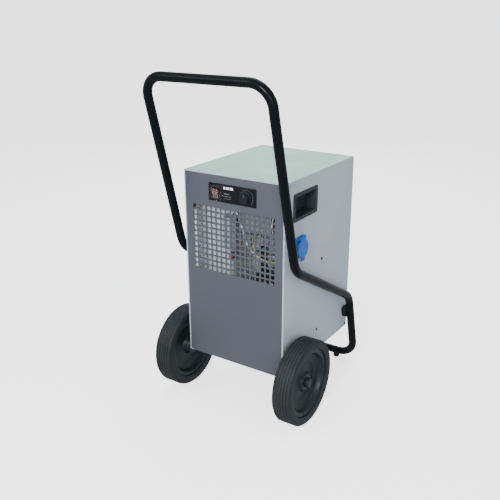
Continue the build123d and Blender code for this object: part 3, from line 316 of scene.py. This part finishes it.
wire_colours = {
    "blue": moulded("blue_grey_insulation", srgb(62, 84, 138), 0.45),
    "green": moulded("green_insulation", srgb(92, 138, 66), 0.45),
    "yellow": moulded("yellow_insulation", srgb(206, 200, 110), 0.45),
    "brown": moulded("brown_insulation", srgb(92, 58, 40), 0.45),
    "white": moulded("white_insulation", srgb(214, 216, 216), 0.45),
}


# ---------------------------------------------------------------- mesh helpers
largest_faces_only = 100


def finish_piece(name, mesh, body, material, replaced=(), smooth_angle=34, weighted=False):
    """Turn a mesh into a piece of the machine that moves with a body."""
    mesh.shade_smooth()
    mesh.set_sharp_from_angle(angle=math.radians(smooth_angle))
    piece = bpy.data.objects.new(name, mesh)
    bpy.context.scene.collection.objects.link(piece)
    if weighted:
        # large flat faces keep flat shading between their rounded edges
        normals = piece.modifiers.new("flat_faces", "WEIGHTED_NORMAL")
        normals.keep_sharp = True
        normals.weight = largest_faces_only
        shaped = piece.evaluated_get(bpy.context.evaluated_depsgraph_get())
        mesh = bpy.data.meshes.new_from_object(shaped)
        piece.modifiers.clear()
        piece.data = mesh
    mesh.materials.clear()
    mesh.materials.append(material)
    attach(piece, body)
    if replaced:
        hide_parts(*replaced)
    return piece


def mesh_from(name, work):
    """Write a bmesh to a new mesh with its faces turned outwards."""
    bmesh.ops.recalc_face_normals(work, faces=work.faces)
    mesh = bpy.data.meshes.new(name)
    work.to_mesh(mesh)
    work.free()
    return mesh


def softened(node, width):
    """Stand in for a hard-edged node: the same shape, with the rounded edges of pressed or moulded parts."""
    weld_distance = 0.001 * mm
    flat, sharp = math.radians(0.5), math.radians(30)
    work = bmesh.new()
    work.from_mesh(nodes[node].data)
    bmesh.ops.remove_doubles(work, verts=work.verts, dist=weld_distance)
    bmesh.ops.dissolve_limit(work, angle_limit=flat, verts=work.verts, edges=work.edges)
    corners = [
        edge for edge in work.edges
        if len(edge.link_faces) == 2 and edge.calc_face_angle(0.0) > sharp
    ]
    bmesh.ops.bevel(
        work, geom=corners, offset=width, segments=2, profile=0.5, affect="EDGES", clamp_overlap=True,
    )
    mesh = mesh_from(f"{node}_finished", work)
    slot = slot_of[node]
    finish = special_finishes.get(node, materials[slot])
    return finish_piece(
        f"{node}_finished", mesh, body_of[node], finish, [node], smooth_angle=46, weighted=True,
    )


def join_loops(work, first, second):
    """Join two loops of as many points with a band of faces."""
    for index in range(len(first)):
        after = (index + 1) % len(first)
        work.faces.new((first[index], first[after], second[after], second[index]))


def rounded(corners, steps=5):
    """Closed outline through (a, b, radius) corners, each corner turned as an arc."""
    nearly_straight = math.radians(89)
    longest_share = 0.49
    outline = []
    count = len(corners)
    for index, (a, b, radius) in enumerate(corners):
        here = Vector((a, b))
        before = Vector(corners[index - 1][:2]) - here
        after = Vector(corners[(index + 1) % count][:2]) - here
        half = before.angle(after) / 2
        if radius <= 0 or half > nearly_straight:
            outline.append(here)
            continue
        reach = min(radius / math.tan(half), longest_share * before.length, longest_share * after.length)
        radius = reach * math.tan(half)
        start = here + before.normalized() * reach
        end = here + after.normalized() * reach
        centre = here + (before.normalized() + after.normalized()).normalized() * radius / math.sin(half)
        for step in range(steps + 1):
            point = start.lerp(end, step / steps) - centre
            outline.append(centre + point.normalized() * radius)
    return outline


def lathe(name, outline, centre, outward, segments=128):
    """Spin a closed outline of (distance along X, radius) points, in millimetres, about an X axis."""
    work = bmesh.new()
    rings = []
    for along, radius in outline:
        ring = []
        for segment in range(segments):
            turn = 2 * math.pi * segment / segments
            ring.append(work.verts.new((
                centre.x + outward * along * mm,
                centre.y + radius * mm * math.cos(turn),
                centre.z + radius * mm * math.sin(turn),
            )))
        rings.append(ring)
    for index, ring in enumerate(rings):
        join_loops(work, ring, rings[(index + 1) % len(rings)])
    return mesh_from(name, work)


def slab(work, outline, place, thickness):
    """Add a thin plate with a 2-D outline; place maps (a, b, depth) to a point."""
    low = [work.verts.new(place(a, b, 0.0)) for a, b in outline]
    high = [work.verts.new(place(a, b, thickness)) for a, b in outline]
    work.faces.new(low)
    work.faces.new(high)
    join_loops(work, low, high)


def wire_mesh(name, points, radius):
    """Round wire along a smooth curve."""
    curve = bpy.data.curves.new(name, "CURVE")
    curve.dimensions = "3D"
    curve.bevel_depth = radius
    curve.bevel_resolution = 3
    curve.resolution_u = 8
    curve.use_fill_caps = True
    spline = curve.splines.new("NURBS")
    spline.points.add(len(points) - 1)
    for target, point in zip(spline.points, points):
        target.co = (*point, 1.0)
    spline.order_u = 3
    spline.use_endpoint_u = True
    shaped = bpy.data.objects.new(name, curve)
    mesh = bpy.data.meshes.new_from_object(shaped)
    bpy.data.objects.remove(shaped)
    return mesh


# ---------------------------------------------------------------- finishes of the CAD nodes
for node, slot in slot_of.items():
    if nodes[node].material_slots:
        nodes[node].material_slots[0].material = materials[slot]
    else:
        nodes[node].data.materials.append(materials[slot])

# radii in millimetres
edge_rounding = {
    "side_panel_left": 0.7,
    "side_panel_right": 0.7,
    "front_panel": 0.28,
    "rear_panel": 0.4,
    "base_pan": 0.5,
    "control_fascia": 0.3,
    "switch_body": 0.35,
    "rocker": 0.6,
    "grip_cup_left": 0.5,
    "grip_cup_right": 0.5,
    "socket_body": 0.5,
    "socket_lid": 0.4,
    "water_tank": 0.6,
    "electrics_box": 0.6,
    "outlet_guard": 0.3,
    "axle_brackets": 0.5,
    "bulkhead": 0.3,
    "coil_casing": 0.2,
    "machine_deck": 0.3,
    "fan_impeller": 0.4,
    "motor_bracket": 0.4,
    "frame_saddles": 0.6,
    "cable_gland": 0.4,
    "housing_screws": 0.25,
    "switch_cover": 0.4,
}
for node, width in edge_rounding.items():
    softened(node, width * mm)


# ---------------------------------------------------------------- wheels
def tyre_outline(width, radius, grooves):
    """Solid tyre: bead, sidewall with a ring at the shoulder, and a ribbed tread, in millimetres."""
    groove_depth = 2.0
    mouth_half, floor_half = 1.5, 0.8
    mouth_turn, floor_turn = 0.8, 0.5
    side = [
        (1.6, 100.5, 0.6), (0.9, 103.0, 2.0), (0.2, 109.0, 4.0), (0.0, 116.6, 0.5),
        (1.3, 117.6, 0.5), (1.3, 118.8, 0.5), (0.3, 119.6, 0.5), (1.0, 122.2, 1.6), (4.2, radius, 1.8),
    ]
    tread = []
    for groove in range(grooves):
        middle = width * (groove + 1) / (grooves + 1)
        tread += [
            (middle - mouth_half, radius, mouth_turn),
            (middle - floor_half, radius - groove_depth, floor_turn),
            (middle + floor_half, radius - groove_depth, floor_turn),
            (middle + mouth_half, radius, mouth_turn),
        ]
    far_side = [(width - a, b, turn) for a, b, turn in reversed(side)]
    return rounded(side + tread + far_side)


def rim_outline():
    """Dished wheel centre: hub boss, sloping web and a rim with two lips, in millimetres."""
    outer_lip = [(49, 100, 0.9), (49, 90, 1.6), (46.5, 87, 2.0)]
    outer_web = [(33, 82, 8.0), (28.5, 60, 9.0), (32, 30, 6.0)]
    hub = [(40, 24, 2.5), (41, 20, 1.0), (41, 12.6, 0.4), (2, 12.6, 0.4), (2, 23, 1.0), (3.5, 24.5, 1.5)]
    inner_web = [(23, 30, 5.0), (26, 62, 9.0), (22, 83, 7.0)]
    inner_lip = [(9, 86.5, 2.0), (6, 89, 2.0), (6, 100, 0.9)]
    tyre_seat = [(9, 100, 0.9), (9.5, 95, 1.0), (45.5, 95, 1.0), (46, 100, 0.9)]
    return rounded(outer_lip + outer_web + hub + inner_web + inner_lip + tyre_seat)


tread_grooves = 5
tyre_segments = 192
for side, side_name in ((-1, "left"), (1, "right")):
    low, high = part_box(f"tyre_{side_name}")
    inner_face = low.x if side > 0 else high.x
    centre = Vector((inner_face, (low.y + high.y) / 2, (low.z + high.z) / 2))
    wheel_body = body_of[f"tyre_{side_name}"]
    wheel_width = (high.x - low.x) / mm
    wheel_radius = (high.z - low.z) / 2 / mm
    section = tyre_outline(wheel_width, wheel_radius, tread_grooves)
    tyre = lathe(f"tyre_{side_name}_ribbed", section, centre, side, tyre_segments)
    finish_piece(
        f"tyre_{side_name}_ribbed", tyre, wheel_body, materials["tyre_rubber"],
        [f"tyre_{side_name}"],
    )
    rim = lathe(f"wheel_rim_{side_name}_dished", rim_outline(), centre, side)
    finish_piece(
        f"wheel_rim_{side_name}_dished", rim, wheel_body, materials["rim_plastic"],
        [f"wheel_rim_{side_name}"],
    )


# ---------------------------------------------------------------- fin packs
def fin_stack(node, pitch, levels):
    """Thin corrugated fins, a little bent here and there as handled ones are; sizes in millimetres."""
    foil = 0.85
    wave_height = 0.28
    depth_steps = 12
    usual_lean = 0.10
    dented_share, dent_lean = 0.25, 0.7
    bent_steps = 3
    random.seed(node)
    low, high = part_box(node)
    count = int((high.x - low.x) / mm / pitch)
    work = bmesh.new()
    for fin in range(count + 1):
        middle = low.x + (high.x - low.x - foil * mm) * fin / count
        lean = [random.gauss(0, usual_lean) for level in range(levels + 1)]
        if random.random() < dented_share:
            dent = random.randrange(levels)
            lean[dent] += random.choice((-dent_lean, dent_lean))
        sheets = []
        for face in (0.0, foil):
            rows = []
            for level in range(levels + 1):
                row = []
                for step in range(depth_steps + 1):
                    wave = wave_height * (1 if step % 2 else -1)
                    bend = lean[level] * max(0.0, 1 - step / bent_steps)
                    across = middle + (face + wave + bend) * mm
                    row.append(work.verts.new((
                        min(max(across, low.x), high.x),
                        low.y + (high.y - low.y) * step / depth_steps,
                        low.z + (high.z - low.z) * level / levels,
                    )))
                rows.append(row)
            sheets.append(rows)
        for rows in sheets:
            for level in range(levels):
                for step in range(depth_steps):
                    work.faces.new((
                        rows[level][step], rows[level][step + 1],
                        rows[level + 1][step + 1], rows[level + 1][step],
                    ))
        # rims that close the foil all round
        near, far = sheets
        for level in range(levels):
            for step in (0, depth_steps):
                work.faces.new((
                    near[level][step], near[level + 1][step],
                    far[level + 1][step], far[level][step],
                ))
        for step in range(depth_steps):
            for level in (0, levels):
                work.faces.new((
                    near[level][step], near[level][step + 1],
                    far[level][step + 1], far[level][step],
                ))
    mesh = mesh_from(f"{node}_foils", work)
    slot = slot_of[node]
    finish_piece(f"{node}_foils", mesh, body_of[node], materials[slot], [node])


fin_stack("evaporator_fins", pitch=2.3, levels=14)
fin_stack("condenser_fins", pitch=2.6, levels=6)


# ---------------------------------------------------------------- humidistat knob and printed marks
fascia_low, fascia_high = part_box("control_fascia")
face_y = fascia_low.y
knob_low, knob_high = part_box("humidistat_knob")
knob_centre = Vector(((knob_low.x + knob_high.x) / 2, 0, (knob_low.z + knob_high.z) / 2))
knob_radius = (knob_high.x - knob_low.x) / 2


def on_face(a, b, depth):
    """Point on the fascia: a across and b up in metres, depth out of it."""
    return (a, face_y - depth, b)


def around_knob(radius, turn):
    """X and Z of a point at a radius and an angle about the knob's axis."""
    return knob_centre.x + radius * math.cos(turn), knob_centre.z + radius * math.sin(turn)


def fluted_knob():
    """Round knob with a plain skirt, a fluted grip and a spindle behind it."""
    around = 288
    flutes, flute_depth = 24, 0.055
    back = knob_high.y
    body_start = face_y - 1.2 * mm
    # y, share of the radius, share of the flutes' depth
    skirt = [
        (body_start, 0.0, 0), (body_start, 0.97, 0), (body_start - 0.6 * mm, 1.0, 0),
        (body_start - 3.2 * mm, 1.0, 0), (body_start - 4.0 * mm, 0.97, 0),
    ]
    grip = [
        (body_start - 4.4 * mm, 0.86, 0.3), (body_start - 5.0 * mm, 0.80, 1),
        (knob_low.y + 1.4 * mm, 0.76, 1), (knob_low.y + 0.4 * mm, 0.73, 0.8), (knob_low.y, 0.66, 0.2),
    ]
    face = [(knob_low.y + 0.5 * mm, 0.58, 0), (knob_low.y + 0.6 * mm, 0.0, 0)]
    work = bmesh.new()
    rings = []
    for y, share, flute in skirt + grip + face:
        if share == 0:
            rings.append([work.verts.new((knob_centre.x, y, knob_centre.z))])
            continue
        ring = []
        for step in range(around):
            turn = 2 * math.pi * step / around
            dip = flute_depth * flute * (0.5 - 0.5 * math.cos(flutes * turn)) ** 2
            x, z = around_knob(knob_radius * (share - dip), turn)
            ring.append(work.verts.new((x, y, z)))
        rings.append(ring)
    for ring, following in zip(rings, rings[1:]):
        for step in range(around):
            after = (step + 1) % around
            corners = [
                ring[step % len(ring)], ring[after % len(ring)],
                following[after % len(following)], following[step % len(following)],
            ]
            # a ring of one point gives a triangle
            work.faces.new(list(dict.fromkeys(corners)))
    spindle_radius = 3.0 * mm
    spindle_start = body_start - 0.2 * mm
    outline = [around_knob(spindle_radius, math.radians(turn)) for turn in range(0, 360, 15)]
    slab(work, outline, lambda a, b, depth: (a, spindle_start + depth, b), back - body_start)
    return mesh_from("humidistat_knob_fluted", work)


finish_piece(
    "humidistat_knob_fluted", fluted_knob(), body_of["humidistat_knob"],
    materials["black_plastic"], ["humidistat_knob"],
)


def rectangle(left, bottom, width, height):
    """Corners of an upright rectangle."""
    return [(left, bottom), (left + width, bottom), (left + width, bottom + height), (left, bottom + height)]


pointer_half, pointer_start, pointer_length = 0.8 * mm, 3 * mm, 8.5 * mm
pointer_sink, pointer_thickness = 0.75 * mm, 0.55 * mm
work = bmesh.new()
slab(
    work,
    rectangle(
        knob_centre.x - pointer_half, knob_centre.z + pointer_start, 2 * pointer_half, pointer_length,
    ),
    lambda a, b, depth: (a, knob_low.y + pointer_sink - depth, b),
    pointer_thickness,
)
finish_piece(
    "knob_pointer_line", mesh_from("knob_pointer_line", work), body_of["humidistat_knob"],
    mark_faint,
)

ink = 0.08 * mm
dial_centre = Vector((knob_centre.x, knob_centre.z))
dial_ticks, long_tick_every = 11, 5
tick_radius, tick_half = 22.0 * mm, 0.45 * mm
long_tick, short_tick = 3.0 * mm, 1.8 * mm
dial_sweep = 270


def dial_direction(share):
    """Direction on the dial at a share of its sweep, clockwise from the lowest setting."""
    angle = math.radians(90 + dial_sweep / 2 - dial_sweep * share)
    return Vector((math.cos(angle), math.sin(angle)))


work = bmesh.new()
for tick in range(dial_ticks):
    outwards = dial_direction(tick / (dial_ticks - 1))
    across = Vector((-outwards.y, outwards.x)) * tick_half
    length = outwards * (short_tick if tick % long_tick_every else long_tick)
    start = dial_centre + outwards * tick_radius
    corners = [start - across, start + across, start + across + length, start - across + length]
    slab(work, [tuple(corner) for corner in corners], on_face, ink)
# rising wedge round the dial, from dry to damp
wedge_steps = 40
wedge_inner, wedge_outer, wedge_growth = 20.3 * mm, 20.5 * mm, 0.9 * mm
inner_edge, outer_edge = [], []
for step in range(wedge_steps + 1):
    share = step / wedge_steps
    inner_edge.append(tuple(dial_centre + dial_direction(share) * wedge_inner))
    outer_edge.append(tuple(dial_centre + dial_direction(share) * (wedge_outer + wedge_growth * share)))
for step in range(wedge_steps):
    quad = [inner_edge[step], inner_edge[step + 1], outer_edge[step + 1], outer_edge[step]]
    slab(work, quad, on_face, ink)
finish_piece("dial_marks", mesh_from("dial_marks", work), "housing", mark_faint)

# plain bars and lines printed on the fascia: left, bottom, width and height in millimetres
fascia_z = (fascia_low.z + fascia_high.z) / 2
print_left = -27 * mm
fascia_print = {
    "fascia_bars": (mark_white, [(0, 12.5, 5, 6.5), (7, 12.5, 11, 6.5), (20, 12.5, 11, 6.5)]),
    "fascia_lines": (mark_grey, [(2, -1, 17, 1.3), (0, -7.5, 26, 0.5), (0, -14, 24, 0.5)]),
}
for name, (finish, marks) in fascia_print.items():
    work = bmesh.new()
    for left, bottom, width, height in marks:
        outline = rectangle(print_left + left * mm, fascia_z + bottom * mm, width * mm, height * mm)
        slab(work, outline, on_face, ink)
    finish_piece(name, mesh_from(name, work), "housing", finish)


# ---------------------------------------------------------------- draught seal beside the coil
def draught_seal():
    """Soft foam strip that closes the gap between the coil's flange and the left side panel."""
    casing_low, casing_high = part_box("coil_casing")
    side_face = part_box("side_panel_left")[0].x + 1.6 * mm
    seal_width, seal_depth = 36, 36
    flange_gap = 0.3 * mm
    end_gap = 2 * mm
    front_squeeze = 0.4 * mm
    levels = 40
    section = rounded([
        (0, 0, 2.0), (seal_width, 0, 5.0), (seal_width, seal_depth, 1.0), (0, seal_depth, 1.0),
    ])
    seal_height = casing_high.z - casing_low.z - 2 * end_gap
    work = bmesh.new()
    rings = []
    for level in range(levels + 1):
        z = casing_low.z + end_gap + seal_height * level / levels
        # uneven squeeze along the strip, in millimetres
        squeeze = 0.5 * math.sin(level * 1.7) + 0.3 * math.sin(level * 0.6)
        ring = []
        for a, b in section:
            x = side_face + (a + squeeze * a / seal_width) * mm
            y = casing_low.y - (seal_depth - b) * mm - flange_gap
            ring.append(work.verts.new((x, y + squeeze * front_squeeze * (1 - b / seal_depth), z)))
        rings.append(ring)
    for ring, following in zip(rings, rings[1:]):
        join_loops(work, ring, following)
    work.faces.new(rings[0])
    work.faces.new(rings[-1])
    return mesh_from("coil_draught_seal", work)


seal_foam = rubbery("pale_foam", srgb(204, 207, 208), srgb(190, 192, 192), 0.85)
finish_piece("coil_draught_seal", draught_seal(), "housing", seal_foam)


# ---------------------------------------------------------------- coloured wires behind the grille
thick_wire = 1.8


def harness_wire(name, colour, points, radius=1.4):
    """Insulated wire of the loom, fixed inside the housing; points and radius in millimetres."""
    mesh = wire_mesh(name, [Vector(point) * mm for point in points], radius * mm)
    finish_piece(name, mesh, "housing", wire_colours[colour])


# this white wire's run along the grille, about 490 mm up, stands in for a highlight line: part wire, part
# painted highlight
harness_wire("white_wire_as_painted_highlight", "white", [
    (-18, -132, 587), (-14, -131, 600), (-2, -127, 588), (4, -124, 560), (14, -124, 540), (16, -124, 520),
    (30, -128, 504), (48, -137, 490), (76, -141, 488), (104, -141, 489), (122, -138, 492), (134, -124, 478),
], thick_wire)
harness_wire("wire_white_box", "white", [
    (99, -104, 606), (106, -118, 594), (108, -128, 574), (110, -129, 558), (118, -124, 530), (122, -120, 505),
    (116, -122, 470), (112, -112, 440),
])
harness_wire("wire_blue_box", "blue", [
    (99, -98, 590), (110, -108, 584), (117, -124, 562), (118, -128, 545), (114, -128, 528), (126, -120, 508),
    (122, -112, 470), (108, -100, 444),
], thick_wire)
harness_wire("wire_earth", "yellow", [
    (40, -118, 532), (50, -134, 512), (64, -134, 480), (84, -131, 470), (108, -131, 471), (128, -124, 468),
    (138, -110, 440), (148, -96, 400), (152, -90, 330),
])
harness_wire("wire_green_switch", "green", [
    (-20, -137, 462), (-14, -142, 456), (-2, -134, 449), (10, -126, 442), (16, -118, 424), (18, -112, 396),
])
harness_wire("wire_brown_switch", "brown", [
    (-24, -137, 464), (-18, -144, 474), (-4, -140, 484), (8, -132, 500), (18, -126, 520), (24, -120, 534),
])


# ---------------------------------------------------------------- floor, light, camera
def stage_floor():
    """Wide white paper floor that curves up far away all round the machine."""
    paper_glow = 1.8
    flat, radius, height = 25.0, 25.0, 50.0
    bend_steps = 32
    section = [(flat, 0.0)]
    for step in range(1, bend_steps + 1):
        turn = math.pi / 2 * step / bend_steps
        section.append((flat + radius * math.sin(turn), radius * (1 - math.cos(turn))))
    section.append((flat + radius, height))
    around = 64
    work = bmesh.new()
    centre = work.verts.new((0.0, 0.0, 0.0))
    rings = []
    for reach, z in section:
        turns = [2 * math.pi * step / around for step in range(around)]
        rings.append([work.verts.new((reach * math.cos(turn), reach * math.sin(turn), z)) for turn in turns])
    for step in range(around):
        work.faces.new((centre, rings[0][step], rings[0][(step + 1) % around]))
    for ring, following in zip(rings, rings[1:]):
        join_loops(work, following, ring)
    mesh = bpy.data.meshes.new("studio_floor")
    work.to_mesh(mesh)
    work.free()
    mesh.shade_smooth()
    made = Shader(
        "studio_paper", Specular_IOR_Level=0.0,
        Emission_Color=(1.0, 1.0, 1.0, 1.0), Emission_Strength=paper_glow,
    )
    shade, light = (0.93, 0.93, 0.93, 1.0), (0.95, 0.95, 0.95, 1.0)
    made.colour(made.ramp(made.noise(0.6, 2.0), (0.3, shade), (0.7, light)))
    made.roughness(made.spread(made.noise(30.0, 2.0), 0.8, 0.95))
    mesh.materials.append(made.material)
    floor = bpy.data.objects.new("studio_floor", mesh)
    bpy.context.scene.collection.objects.link(floor)
    # the glow whitens the paper only; the machine is lit by the lamps and the air
    floor.visible_diffuse = False
    floor.visible_glossy = False


def soft_light(name, place, target, size, power, colour=(1.0, 1.0, 1.0)):
    """Rectangular lamp at a place, turned to a target; size in metres, power in watts."""
    light = bpy.data.lights.new(name, "AREA")
    light.shape = "RECTANGLE"
    light.size, light.size_y = size
    light.energy = power
    light.color = colour
    holder = bpy.data.objects.new(name, light)
    holder.visible_camera = False
    holder.location = place
    holder.rotation_euler = (Vector(target) - Vector(place)).to_track_quat("-Z", "Y").to_euler()
    bpy.context.scene.collection.objects.link(holder)


stage_floor()
middle = (0, 0, 0.5)
low_front = (0.1, -0.1, 0.4)
soft_light("key_softbox", (0.75, -2.6, 1.65), middle, (0.5, 0.5), 82)
soft_light("front_fill", (-1.5, -2.5, 2.2), middle, (1.2, 1.2), 36)
soft_light("side_softbox", (1.7, -1.9, 0.9), low_front, (0.6, 0.9), 20, (0.96, 0.98, 1.0))
soft_light("top_softbox", (-0.3, 0.7, 2.9), middle, (1.8, 1.8), 34, (0.95, 1.0, 0.97))
soft_light("rear_fill", (-1.6, 2.8, 1.9), middle, (1.6, 1.6), 24)

world = bpy.data.worlds.new("studio_air")
world.use_nodes = True
air = world.node_tree.nodes["Background"]
air.inputs["Color"].default_value = (0.93, 0.96, 1.0, 1.0)
air.inputs["Strength"].default_value = 0.85
bpy.context.scene.world = world

camera_place = (0.9971, -1.5798, 1.1318)
azimuth, pitch, roll = math.radians(33.45), math.radians(20.22), math.radians(-0.21)
camera_data = bpy.data.cameras.new("camera")
camera_data.sensor_width = 36
camera_data.lens = 48.15
camera = bpy.data.objects.new("camera", camera_data)
heading = Matrix.Rotation(azimuth, 4, "Z")
tilt = Matrix.Rotation(math.pi / 2 - pitch, 4, "X")
lean = Matrix.Rotation(roll, 4, "Z")
camera.matrix_world = Matrix.Translation(camera_place) @ (heading @ tilt @ lean)
bpy.context.scene.collection.objects.link(camera)
bpy.context.scene.camera = camera

bpy.context.view_layer.update()
